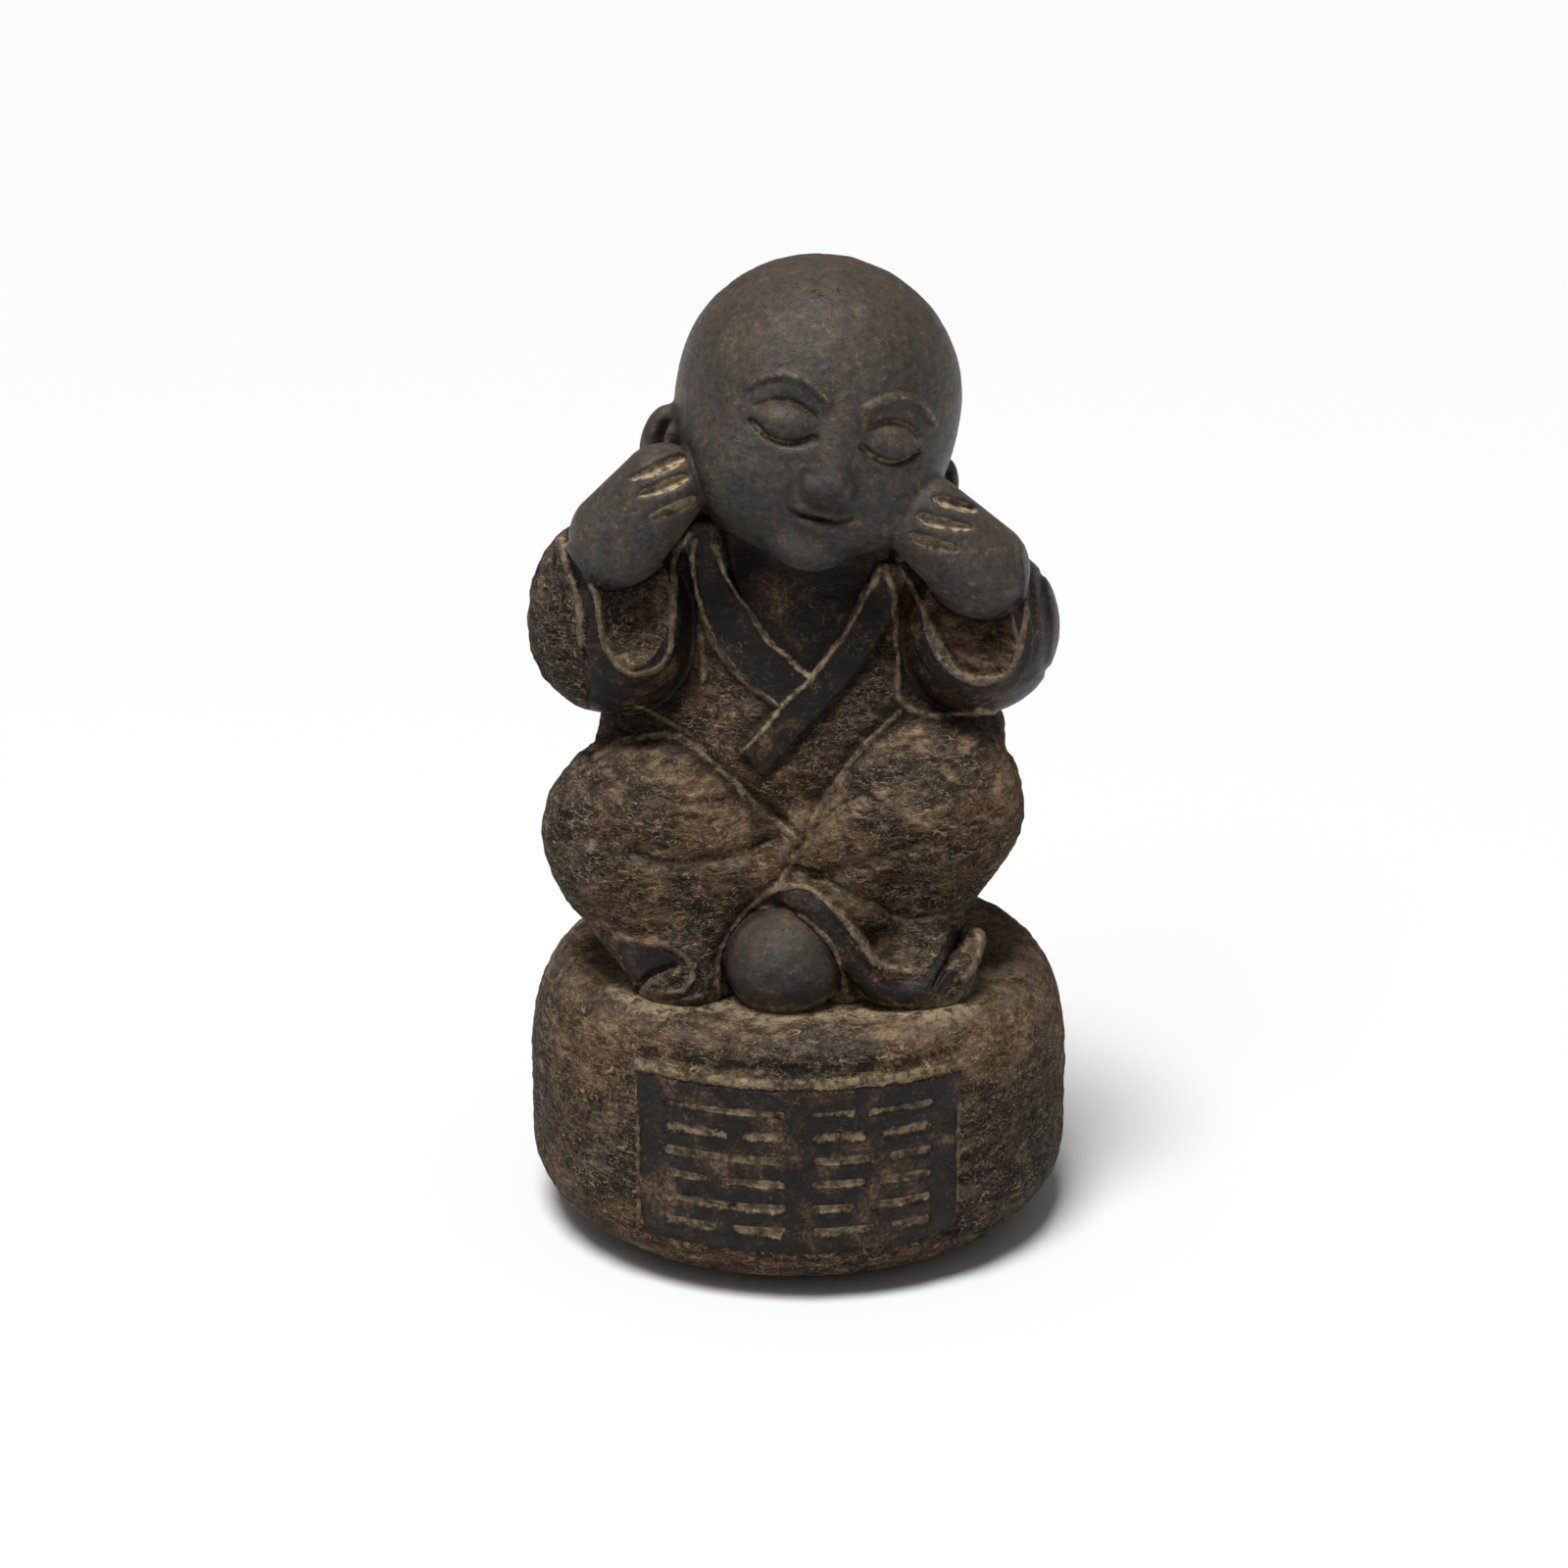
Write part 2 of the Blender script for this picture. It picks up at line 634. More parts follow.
class Figure:
    """The whole figure as one field, with the parts that its finish depends on."""

    def __init__(self):
        self.head = head()
        self.torso = torso()
        self.arms = [arm_field(arm) for arm in ARMS]
        self.legs = [left_leg(), right_leg()]
        self.crossing = limb(*CROSSING)
        self.ball = bounded(BALL_CENTRE, max(BALL_RADII), egg(BALL_CENTRE, BALL_RADII))
        recess_reach = 26
        self.recess = bounded(RECESS[0], recess_reach, egg(*RECESS))
        self.hem = hem_field()
        self.collars = [band(path, width, COLLAR_PROUD) for path, width in COLLARS]
        self.robe_lines = [groove(*args[:3]) for args in ROBE_LINES]
        self.back_collar = groove(BACK_COLLAR[0], BACK_COLLAR[1] / 2, -BACK_COLLAR[2])
        self.back_lines = [groove(*args) for args in BACK_LINES]
        rims = [arm["rim"] for arm in ARMS]
        self.edges = [line(path) for path in EDGES + rims]
        self.creases = [line(path) for path in CREASES]
        self.folds = [line(arm["fold"]) for arm in ARMS]

    def __call__(self, x, y, z):
        a, b = on_sheet(x, y, z)
        body = self.torso(x, y, z)
        front = (y < COLLAR_FRONT) & (z > COLLAR_LOWEST) & (np.abs(body) < NEAR_SURFACE)
        if front.any():
            af, bf = a[front], b[front]
            body[front] += np.minimum(self.collars[0](af, bf), self.collars[1](af, bf))
        back = (y > BACK_START) & (np.abs(body) < NEAR_SURFACE)
        if back.any():
            xb, zb = x[back], z[back]
            body[back] += self.back_collar(xb, zb) + total(self.back_lines, xb, zb)
        knees = join(self.legs[0](x, y, z), self.legs[1](x, y, z), FILLET["knees"])
        knees = join(knees, self.crossing(x, y, z), FILLET["knees"])
        d = join(body, knees, FILLET["lap"])
        lap = (y < COLLAR_FRONT) & (z < LAP_HIGHEST) & (np.abs(d) < NEAR_SURFACE)
        if lap.any():
            d[lap] += total(self.robe_lines, *by_hand(a[lap], b[lap]))
        d = cut(d, self.recess(x, y, z), FILLET["recess"])
        d = join(d, self.hem(x, y, z), FILLET["hem"])
        for arm in self.arms:
            d = join(d, arm(x, y, z), FILLET["arm"])
        carved = (y < 0) & (np.abs(d) < THIN_REACH)
        if carved.any():
            af, bf = by_hand(a[carved], b[carved])
            d[carved] -= EDGE_HEIGHT * ease(1 - nearest(self.edges, af, bf) / EDGE_REACH)
            d[carved] += CREASE_DEPTH * ease(1 - nearest(self.creases, af, bf) / CREASE_REACH)
            d[carved] += FOLD_DEPTH * ease(1 - nearest(self.folds, af, bf) / FOLD_REACH)
        d = join(d, self.head(x, y, z), FILLET["head"])
        d = join(d, self.ball(x, y, z), FILLET["ball"])
        return np.maximum(d, -SEAT_SINK - z)


# Turning a field into a mesh


class Grid:
    """Samples of a field on a grid, worked out only in blocks that the surface can reach."""

    def __init__(self, field, low, high, cell):
        block = 16
        half_diagonal = 0.87
        steepest = 1.35  # the most that a field changes over one millimetre
        reach = block * cell * half_diagonal * steepest
        self.low = np.array(low)
        self.cell = cell
        counts = np.ceil((np.array(high) - self.low) / cell / block).astype(int)
        self.values = np.empty(counts * block + 1, np.float32)
        places = np.meshgrid(*[np.arange(c) for c in counts], indexing="ij")
        starts = np.stack(places, -1).reshape(-1, 3) * block
        middles = (self.low + (starts + block / 2) * cell).T
        distance = field(*middles)
        step = np.arange(block + 1)
        offsets = np.stack(np.meshgrid(step, step, step, indexing="ij"), -1).reshape(-1, 3)
        shape = (block + 1,) * 3
        far = 10.0
        for start, d in zip(starts, distance):
            place = tuple(slice(s, s + block + 1) for s in start)
            if abs(d) > reach:
                self.values[place] = math.copysign(far, d)
        for start, d in zip(starts, distance):
            place = tuple(slice(s, s + block + 1) for s in start)
            if abs(d) <= reach:
                points = (self.low + (start + offsets) * cell).T
                self.values[place] = np.clip(field(*points), -far, far).reshape(shape)

    def softened(self, radius):
        """The samples averaged over about radius, for telling hollows from ridges."""
        width = 2 * max(1, round(radius / self.cell)) + 1
        soft = self.values.astype(np.float32)
        for axis in range(3):
            for _ in range(2):
                pad = [(0, 0)] * 3
                pad[axis] = (width // 2 + 1, width // 2)
                sums = np.cumsum(np.pad(soft, pad, mode="edge"), axis=axis, dtype=np.float64)
                size = soft.shape[axis]
                upper = np.take(sums, np.arange(width, width + size), axis=axis)
                lower = np.take(sums, np.arange(size), axis=axis)
                soft = ((upper - lower) / width).astype(np.float32)
        return soft

    def at(self, values, points):
        """Samples interpolated at points."""
        place = (points - self.low) / self.cell
        base = np.clip(np.floor(place).astype(int), 0, np.array(values.shape) - 2)
        f = place - base
        result = np.zeros(len(points))
        for corner in np.ndindex(2, 2, 2):
            weight = np.prod(np.where(np.array(corner), f, 1 - f), axis=1)
            result += weight * values[tuple((base + corner).T)]
        return result

    def surface(self):
        """The zero surface as points and quads."""
        inside = self.values < 0
        n = inside.shape
        corners = list(np.ndindex(2, 2, 2))
        counts = sum(
            inside[i : n[0] - 1 + i, j : n[1] - 1 + j, k : n[2] - 1 + k].astype(np.uint8)
            for i, j, k in corners
        )
        active = (counts > 0) & (counts < 8)
        cells = np.argwhere(active)
        index = np.full(active.shape, -1, np.int32)
        index[active] = np.arange(len(cells))
        sums = np.zeros((len(cells), 3))
        hits = np.zeros(len(cells))
        for axis in range(3):
            unit = np.eye(3, dtype=int)[axis]
            for corner in corners:
                if corner[axis]:
                    continue
                first = cells + corner
                va = self.values[tuple(first.T)]
                vb = self.values[tuple((first + unit).T)]
                cross = (va < 0) != (vb < 0)
                t = va[cross] / (va[cross] - vb[cross])
                sums[cross] += first[cross] + t[:, None] * unit
                hits[cross] += 1
        points = self.low + self.cell * sums / hits[:, None]
        quads = [self.quads_across(inside, index, axis) for axis in range(3)]
        return points, np.vstack(quads)

    @staticmethod
    def quads_across(inside, index, axis):
        """The quads round the grid edges that run along one axis and cross the surface."""
        u, v = (axis + 1) % 3, (axis + 2) % 3
        size = inside.shape[axis]
        first = np.take(inside, range(size - 1), axis)
        second = np.take(inside, range(1, size), axis)
        edges = np.argwhere(first != second)
        starts_inside = first[tuple(edges.T)]
        unit_u, unit_v = np.eye(3, dtype=int)[u], np.eye(3, dtype=int)[v]
        ring = [edges - unit_u - unit_v, edges - unit_v, edges, edges - unit_u]
        quads = np.stack([index[tuple(cell.T)] for cell in ring], 1)
        quads[~starts_inside] = quads[~starts_inside][:, ::-1]
        return quads

    def settled(self, points):
        """Points moved on to the surface."""
        h = self.cell * 0.5
        least_slope = 0.3
        for _ in range(2):
            ahead = [self.at(self.values, points + h * e) for e in np.eye(3)]
            behind = [self.at(self.values, points - h * e) for e in np.eye(3)]
            slope = (np.stack(ahead, 1) - np.stack(behind, 1)) / (2 * h)
            d = self.at(self.values, points)
            step = d / np.maximum((slope**2).sum(1), least_slope)
            points = points - np.clip(step, -h, h)[:, None] * slope
        return points


def mesh_from(name, points, faces):
    mesh = bpy.data.meshes.new(name)
    mesh.from_pydata(points.tolist(), [], faces)
    mesh.update()
    return mesh


def thinned(points, quads, triangles):
    """The surface thinned to about so many triangles, most where it is flattest."""
    source = bpy.data.objects.new("rough_figure", mesh_from("rough_figure", points, quads.tolist()))
    bpy.context.scene.collection.objects.link(source)
    modifier = source.modifiers.new("thin", "DECIMATE")
    modifier.ratio = min(1.0, triangles / (2 * len(quads)))
    solid = source.evaluated_get(bpy.context.evaluated_depsgraph_get()).to_mesh()
    solid.calc_loop_triangles()
    kept = np.empty(len(solid.vertices) * 3)
    solid.vertices.foreach_get("co", kept)
    corners = np.empty(len(solid.loop_triangles) * 3, int)
    solid.loop_triangles.foreach_get("vertices", corners)
    rough = source.data
    bpy.data.objects.remove(source)
    bpy.data.meshes.remove(rough)
    return kept.reshape(-1, 3), corners.reshape(-1, 3)


# The drum


def drum_profile(shape):
    """The drum's outline as (radius, height) rows, closer together beside the panel."""
    radius = (NODE_HIGH[0] - NODE_LOW[0]) / 2
    height = shape.plinth_height
    row = shape.panel_row
    arc_rows = 11
    rows = [(r, 0.0) for r in np.linspace(0, radius - shape.foot_reach, 9)[:-1]]
    for t in np.linspace(-math.pi / 2, 0, arc_rows * 2):
        out = radius - shape.foot_reach * (1 - math.cos(t))
        rows.append((out, shape.foot_rise * (1 + math.sin(t))))
    side_top = height - shape.shoulder_drop
    for z in np.arange(shape.foot_rise + row, side_top - row / 2, row):
        rows.append((radius, z))
    for t in np.linspace(0, math.pi / 2, arc_rows * 3):
        out = radius - shape.shoulder_reach * (1 - math.cos(t))
        rows.append((out, side_top + shape.shoulder_drop * math.sin(t)))
    seat = radius - shape.shoulder_reach
    seat_row = 1.8 * MM
    hidden = 45 * MM  # the figure covers the seat inside this radius
    for r in np.arange(seat - seat_row, hidden, -seat_row):
        rows.append((r, height))
    rows += [(20 * MM, height), (0.0, height)]
    return np.array(rows)


def panel_cover(shape, x, z, soft):
    """1 on the panel and 0 off it, softened at its border."""
    across = (shape.panel_width / 2 - np.abs(x)) / soft
    up = np.minimum(z - shape.panel_bottom, shape.panel_top - z) / soft
    return ease(np.minimum(across, up) + 0.5)


# Rows of plain strokes stand where an inscription would be, in two blocks side by side.
LEFT_ROWS = [(1,), (3, 2), (1,), (2, 3), (1,), (1, 1)]
RIGHT_ROWS = [(2, 3), (1, 1), (3, 2), (1, 1), (2, 3), (3, 2)]


def stroke_bars(shape):
    """Each stroke as its left end, right end and height."""
    block = (shape.panel_width - 3 * shape.stroke_margin) / 2
    usable = shape.panel_top - shape.panel_bottom - 2 * shape.stroke_margin
    pitch = usable / (len(LEFT_ROWS) - 1)
    inner = shape.stroke_margin / 2
    bars = []
    for rows, start in ((LEFT_ROWS, -block - inner), (RIGHT_ROWS, inner)):
        for row, shares in enumerate(rows):
            unit = (block - shape.stroke_gap * (len(shares) - 1)) / sum(shares)
            height = shape.panel_top - shape.stroke_margin - row * pitch
            left = start
            for share in shares:
                bars.append((left, left + share * unit, height))
                left += share * unit + shape.stroke_gap
    return bars


def stroke_cover(shape, x, z):
    """1 in a stroke and 0 outside, with sloping sides."""
    half = shape.stroke_width / 2
    slope = 0.9 * MM
    cover = np.zeros(x.shape)
    for left, right, height in stroke_bars(shape):
        middle, reach = (left + right) / 2, (right - left) / 2 - half
        d = np.hypot(np.maximum(np.abs(x - middle) - reach, 0), z - height) - half
        cover = np.maximum(cover, ease(0.5 - d / slope))
    return cover


def drum_columns(shape):
    """Azimuths round the drum from the front, closer together across the panel."""
    radius = (NODE_HIGH[0] - NODE_LOW[0]) / 2
    edge = math.asin(shape.panel_width / 2 / radius) + 2 * shape.panel_row / radius
    across = round(2 * edge * radius / shape.panel_row)
    coarser = 3.0
    around = round((2 * math.pi - 2 * edge) * radius / (coarser * shape.panel_row))
    return np.concatenate(
        [
            np.linspace(-edge, edge, across, endpoint=False),
            np.linspace(edge, 2 * math.pi - edge, around, endpoint=False),
        ]
    )


def fading(offset, reach):
    """1 where an offset is 0, easing to 0 at reach to either side."""
    return ease(1 - np.abs(offset) / (reach * MM))


def drum_mesh(shape):
    """The drum's points and quads, and its marks: share of panel, distance to dust, dip, brow and lip."""
    rows = drum_profile(shape)
    turn = drum_columns(shape)
    r, z = [np.repeat(c[:, None], len(turn), 1) for c in rows.T]
    x = r * np.sin(turn)
    front = (np.cos(turn) > 0) & (r > 80 * MM)
    dressed = panel_cover(shape, x, z, 1.0 * MM) * front
    radius = (NODE_HIGH[0] - NODE_LOW[0]) / 2
    bevel = 5 * MM
    low_edge = np.clip(1 - (z - shape.panel_bottom) / (2 * bevel), 0, 1)
    face = radius - shape.panel_sink - bevel / 2 * low_edge
    strokes = stroke_cover(shape, face * np.sin(turn), z) * dressed
    out = r + (face - r) * dressed - shape.stroke_depth * strokes
    beside = shape.panel_width / 2 - np.abs(x)
    above = z - shape.panel_top
    within = ease(beside / (2 * MM) + 0.5) * front
    # A pale lip, a dark dip and a worn brow lie one above the other over the panel.
    lip = within * fading(above - 1.2 * MM, 2.4)
    dip = within * fading(above - 5.5 * MM, 4.5)
    brow = front * fading(above - 13 * MM, 8)
    sides = front * ((z > shape.panel_bottom) & (above < 0)) * fading(beside, 1.3)
    out += (0.5 * lip - 0.7 * dip - 0.6 * sides) * MM
    points = np.stack([out * np.sin(turn), -out * np.cos(turn), z], -1)
    m, n = len(rows), len(turn)
    i, j = np.meshgrid(np.arange(m - 1), np.arange(n), indexing="ij")
    k = (j + 1) % n
    quads = np.stack([i * n + j, i * n + k, (i + 1) * n + k, (i + 1) * n + j], -1).reshape(-1, 4)
    clean = 2.2
    lines = ((0.0, lip), (0.35, sides), (0.3, strokes))
    dirt = np.minimum.reduce([faint + clean * (1 - share) for faint, share in lines])
    return points.reshape(-1, 3), quads, [mark.ravel() for mark in (dressed, dirt, dip, brow, lip)]


# Finish: where the stone is rubbed smooth, and where dirt has settled


def inside_outline(outline, a, b):
    inside = np.zeros(a.shape, bool)
    for (x0, y0), (x1, y1) in zip(outline, outline[1:] + outline[:1]):
        spans = (y0 > b) != (y1 > b)
        if y0 != y1:
            inside ^= spans & (a < (x1 - x0) * (b - y0) / (y1 - y0) + x0)
    return inside


def side_of(path, a, b):
    """How far points lie to the right of a smooth line, or to its left as a minus."""
    way = smooth_path(path, 3)
    best = np.full(a.shape, np.inf)
    signed = np.zeros(a.shape)
    for p, q in zip(way[:-1], way[1:]):
        dx, dy = q - p
        u, v = a - p[0], b - p[1]
        t = np.clip((u * dx + v * dy) / (dx * dx + dy * dy), 0, 1)
        far = np.hypot(u - t * dx, v - t * dy)
        closer = far < best
        best[closer] = far[closer]
        signed[closer] = (far * np.sign(v * dx - u * dy))[closer]
    return signed


# Patches of cloth that are rubbed smooth: the curl at the left foot and the folded corner at the right.
RUBBED_PATCHES = [
    [
        (-66, -76), (-57, -78.5), (-47.5, -80), (-42, -84), (-45, -86), (-51, -87.5), (-57.5, -92),
        (-61, -94), (-64, -86),
    ],
    [
        (30, -94), (36, -90.5), (45, -90.5), (48.5, -86), (54, -77), (57.5, -70), (60, -68),
        (58.6, -76.7), (53.9, -85.7), (49.3, -92.9), (41, -97.5),
    ],
]


# How far from a line its dust still shows, in layout millimetres. Farther than this is clean stone.
DUST_RANGE = 4.0


# How rubbed each part is, where the head is 1, and how light the ball is beside it.
BALL_RUBBED = 0.8
BALL_LIGHT = 0.75
SLEEVE_RUBBED = 0.85
PATCH_RUBBED = 0.8
CROWN_ROUGH = 0.3
CROWN = (225, 255)


def figure_marks(figure, x, y, z):
    """How rubbed and how light each point of the figure is, and how near it lies to a dusted line."""
    a, b = on_sheet(x, y, z)
    drawn = by_hand(a, b)
    soft = 1.5
    on_head = ease(1 - figure.head(x, y, z) / soft)
    on_ball = ease(1 - figure.ball(x, y, z) / soft)
    crown = ease((z - CROWN[0]) / (CROWN[1] - CROWN[0]))
    smooth = np.maximum(on_head * (1 - CROWN_ROUGH * crown), BALL_RUBBED * on_ball)
    light = np.maximum(on_head, BALL_LIGHT * on_ball)
    front = y < 0
    lap = front & (z < LAP_HIGHEST)
    covered = np.maximum(on_head, on_ball)
    clean = DUST_RANGE * (1 - front)
    dust = nearest(figure.edges, *drawn) + clean
    for points, _, _, faint in ROBE_LINES:
        dust = np.minimum(dust, line(points)(*drawn) + faint + DUST_RANGE * (1 - lap))
    dust += DUST_RANGE * covered
    for arm in ARMS:
        parts = arm_parts(arm)
        skin = ease(1 - (parts["forearm"](x, y, z) - 1) / soft)
        opening = parts["hollow"](x, y, z)
        sleeve = ease(opening / soft) * ease(1 - (parts["cloth"](x, y, z) - 1) / soft)
        sleeve *= ease(-y / 8 + 0.5)
        if arm["rough_side"]:
            across, up = np.array(arm["rough_side"][::-1]).T
            sleeve *= ease((a - np.interp(b, up, across)) / 9 + 0.35)
        smooth = np.maximum.reduce([smooth, skin, SLEEVE_RUBBED * sleeve])
        light = np.maximum(light, skin)
        gouged = sum(gouge(points, GAP_REACH, 1.0)(a, b) for points in arm["gaps"])
        in_gap = DUST_RANGE * (1 - np.clip(2.6 * gouged, 0, 1))
        dust = np.where(skin * front > 0.5, in_gap, dust)
    high = (y < 4) & (z > COLLAR_LOWEST)
    for collar in figure.collars:
        smooth = np.maximum(smooth, high * collar(a, b) / -COLLAR_PROUD)
    smooth = np.maximum(smooth, high * inside_outline(CHEST, a, b) * (z < 172))
    below_edge = ease(0.5 - side_of(HEM_EDGE, a, b) / soft)
    smooth = np.maximum(smooth, below_edge * ease(0.9 - roll(HEM, HEM_RADIUS)(x, y, z) / 1.2))
    for patch in RUBBED_PATCHES:
        smooth = np.maximum(smooth, PATCH_RUBBED * front * inside_outline(patch, a, b))
    side, depth, rise = own_frame(HEAD_CENTRE, HEAD_TURN)(x, y, z)
    on_face = (on_head > 0.5) & (depth < -25)
    lines = nearest([line(path) for path in (BROW, LID_EDGE, LID_FOLD, MOUTH)], np.abs(side), rise)
    dust = np.where(on_face, lines + 0.8, dust)
    seat = 0.3 * z - 0.2
    return smooth, np.clip(np.minimum(dust, seat), 0, DUST_RANGE), light


def in_sleeves(x, y, z):
    """1 inside the openings of the sleeves, where the photographed stone stays brown."""
    inside = np.zeros(x.shape)
    for arm in ARMS:
        parts = arm_parts(arm)
        opening = np.maximum(parts["hollow"](x, y, z), 2 - parts["forearm"](x, y, z))
        inside = np.maximum(inside, ease(1 - opening / 3))
    return inside


def figure_finish(figure, grid, points):
    """The marks of the figure's points that the stone's look depends on, each from 0 to 1."""
    narrow, wide = 1.6, 9.0
    crease_depth = 0.45
    edge_height = 0.5
    hollow_depth = 3
    sleeve_light = 0.7
    fine = grid.at(grid.softened(narrow), points)
    broad = grid.at(grid.softened(wide), points)
    rubbed, dust, light = figure_marks(figure, *points.T)
    crease = ease(-fine / crease_depth - 0.2) * ease(dust / 2)
    hollow = ease((0.6 - broad) / hollow_depth) * (1 - sleeve_light * in_sleeves(*points.T))
    return {
        "rubbed": rubbed,
        "dust_away": dust / DUST_RANGE,
        "light": light,
        "shelter": np.maximum(hollow, crease),
        "worn": ease(fine / edge_height - 0.3) * (1 - rubbed),
        "top": np.zeros(len(points)),
    }


def drum_finish(shape, points, gap, drum_marks):
    """The same marks for the drum's points, where gap is each one's distance to the figure."""
    dressed, dirt, dip, brow, lip = drum_marks
    panel_rubbed, dip_rubbed, brow_worn = 0.66, 0.5, 0.55
    shade_depth, shade_reach = 0.4, 9
    seat = points[:, 2] > 0.9 * shape.plinth_height
    contact = np.where(seat, 0.17 * np.maximum(gap, 0) - 0.3, DUST_RANGE)
    return {
        "rubbed": np.maximum(panel_rubbed * dressed, dip_rubbed * dip),
        "dust_away": np.minimum(dirt, contact) / DUST_RANGE,
        "light": np.zeros(len(points)),
        "shelter": shade_depth * ease(1 - gap / shade_reach) * seat,
        "worn": brow_worn * brow,
        "top": lip,
    }


def unevenness(points, scale, seed):
    """Seeded noise of about 1 either way."""
    shift = Vector((seed, seed * 0.37, seed * 0.71))
    return np.array([noise.fractal(Vector(p) * scale + shift, 1.0, 2.0, 3) for p in points])


def pecked(shape, points, normals, marks):
    """Points moved along their normals to the uneven surface of hand-pecked stone."""
    smoothing = 0.9
    least = 0.25  # what is left of the pecking on a dusted line
    steepest = 1.5
    flat_foot = 1.0 * MM
    spare = 0.4 * MM
    kept = least + (1 - least) * ease(marks["dust_away"])
    reach = shape.peck_reach * (1 - smoothing * marks["rubbed"]) * kept
    uneven = unevenness(points, 120.0, 3.1) + 0.7 * unevenness(points, 300.0, 8.7)
    lift = reach * np.clip(uneven, -steepest, steepest)
    lift *= points[:, 2] > flat_foot
    moved = points + normals * lift[:, None]
    return np.clip(moved, np.array(NODE_LOW) - spare, np.array(NODE_HIGH) + spare)


def size(name, millimetres, description):
    return bpy.props.FloatProperty(
        name=name, description=description, default=millimetres * MM, unit="LENGTH"
    )


def shade(name, colour, description):
    return bpy.props.FloatVectorProperty(
        name=name, description=description, default=colour, subtype="COLOR"
    )


class StatueShape(bpy.types.PropertyGroup):
    """Sizes of the statue's stone"""

    plinth_height: size("Drum Height", 102, "From the underside to the seat")
    shoulder_reach: size("Shoulder Reach", 18, "How far the top edge is rounded in")
    shoulder_drop: size("Shoulder Drop", 40, "How far the top edge's rounding comes down")
    foot_reach: size("Foot Reach", 38, "How far the bottom edge is rounded in")
    foot_rise: size("Foot Rise", 31, "How far the bottom edge's rounding goes up")
    panel_width: size("Panel Width", 116, "Measured straight across")
    panel_bottom: size("Panel Bottom", 20, "Height above the underside")
    panel_top: size("Panel Top", 85.5, "Height above the underside")
    panel_sink: size("Panel Sink", 1.2, "Depth of the panel below the drum's side")
    panel_row: size("Panel Row", 1.1, "Spacing of the drum's points at the panel")
    stroke_width: size("Stroke Width", 3.2, "Width of each stroke on the panel")
    stroke_depth: size("Stroke Depth", 1.4, "Depth of each stroke")
    stroke_margin: size("Stroke Margin", 10, "Clear stone round the strokes")
    stroke_gap: size("Stroke Gap", 5, "Between two strokes of a row")
    cell: size("Figure Cell", 0.95, "Side of the cubes the figure is found in")
    triangles: bpy.props.IntProperty(
        name="Figure Triangles", description="Triangles kept for the figure", default=130000
    )
    peck_reach: size("Pecking Reach", 0.75, "Unevenness of the rough stone")


class StatueColours(bpy.types.PropertyGroup):
    """Colours of the statue's stone"""

    deep: shade("Deep Stone", (0.0155, 0.0094, 0.0066), "Hollows of the rough stone")
    brown: shade("Brown Stone", (0.079, 0.041, 0.0205), "Most of the rough stone")
    tan: shade("Tan Stone", (0.212, 0.14, 0.083), "High spots of the rough stone")
    plum: shade("Dark Stretches", (0.034, 0.0245, 0.0205), "Greyer stretches of the rough stone")
    straw: shade("Straw Streaks", (0.32, 0.245, 0.14), "Pale scratches in the stone")
    powder: shade("Powder", (0.15, 0.128, 0.108), "Grey dust on the tops")
    polished: shade("Polished Stone", (0.0088, 0.0077, 0.0062), "Borders, chest and panel")
    skin: shade("Skin", (0.039, 0.036, 0.0325), "Head, hands and ball")
    dirt: shade("Settled Dirt", (0.24, 0.18, 0.108), "Dust on edges and in grooves")
    floor: shade("Floor", (0.8, 0.8, 0.8), "Pale studio floor")


# Material


def put(tree, kind, settings=None, **inputs):
    """Adds a node, with its settings and its input values or links. A socket goes by name or as _number."""
    rows, spacing = 8, 220
    column, row = divmod(len(tree.nodes), rows)
    node = tree.nodes.new(kind)
    node.location = (spacing * column, -spacing * row)
    for key, value in (settings or {}).items():
        setattr(node, key, value)
    for key, value in inputs.items():
        socket = node.inputs[int(key[1:])] if key[0] == "_" else node.inputs[key.replace("_", " ")]
        if isinstance(value, bpy.types.NodeSocket):
            tree.links.new(value, socket)
        else:
            socket.default_value = value
    return node


def math_node(tree, operation, first, second=0.0):
    return put(tree, "ShaderNodeMath", {"operation": operation}, _0=first, _1=second).outputs[0]


def added(tree, first, second):
    return math_node(tree, "ADD", first, second)


def less(tree, first, second):
    return math_node(tree, "SUBTRACT", first, second)


def scaled(tree, value, factor):
    return math_node(tree, "MULTIPLY", value, factor)


def larger(tree, first, second):
    return math_node(tree, "MAXIMUM", first, second)


def between(tree, value, low, high, out_low=0.0, out_high=1.0):
    """A smooth step of a value from low to high."""
    settings = {"interpolation_type": "SMOOTHSTEP"}
    sockets = {"_0": value, "_1": low, "_2": high, "_3": out_low, "_4": out_high}
    return put(tree, "ShaderNodeMapRange", settings, **sockets).outputs[0]


def mixed(tree, factor, first, second):
    return put(tree, "ShaderNodeMix", {"data_type": "RGBA"}, _0=factor, _6=first, _7=second).outputs[2]


def colour4(colour, share=1.0):
    return (*(share * c for c in colour), 1.0)


def marked(tree, name):
    return put(tree, "ShaderNodeAttribute", {"attribute_name": name}).outputs["Fac"]


def ramp(tree, value, stops):
    """Colours along a value, as (position, colour, share of it) stops."""
    node = put(tree, "ShaderNodeValToRGB", Fac=value)
    elements = node.color_ramp.elements
    while len(elements) < len(stops):
        elements.new(0.5)
    for element, (position, colour, share) in zip(elements, stops):
        element.position = position
        element.color = colour4(colour, share)
    return node.outputs["Color"]


def textured(tree, vector, scale, detail, roughness, distortion=0.0):
    inputs = {"Scale": scale, "Detail": detail, "Roughness": roughness, "Distortion": distortion}
    return put(tree, "ShaderNodeTexNoise", Vector=vector, **inputs).outputs["Fac"]


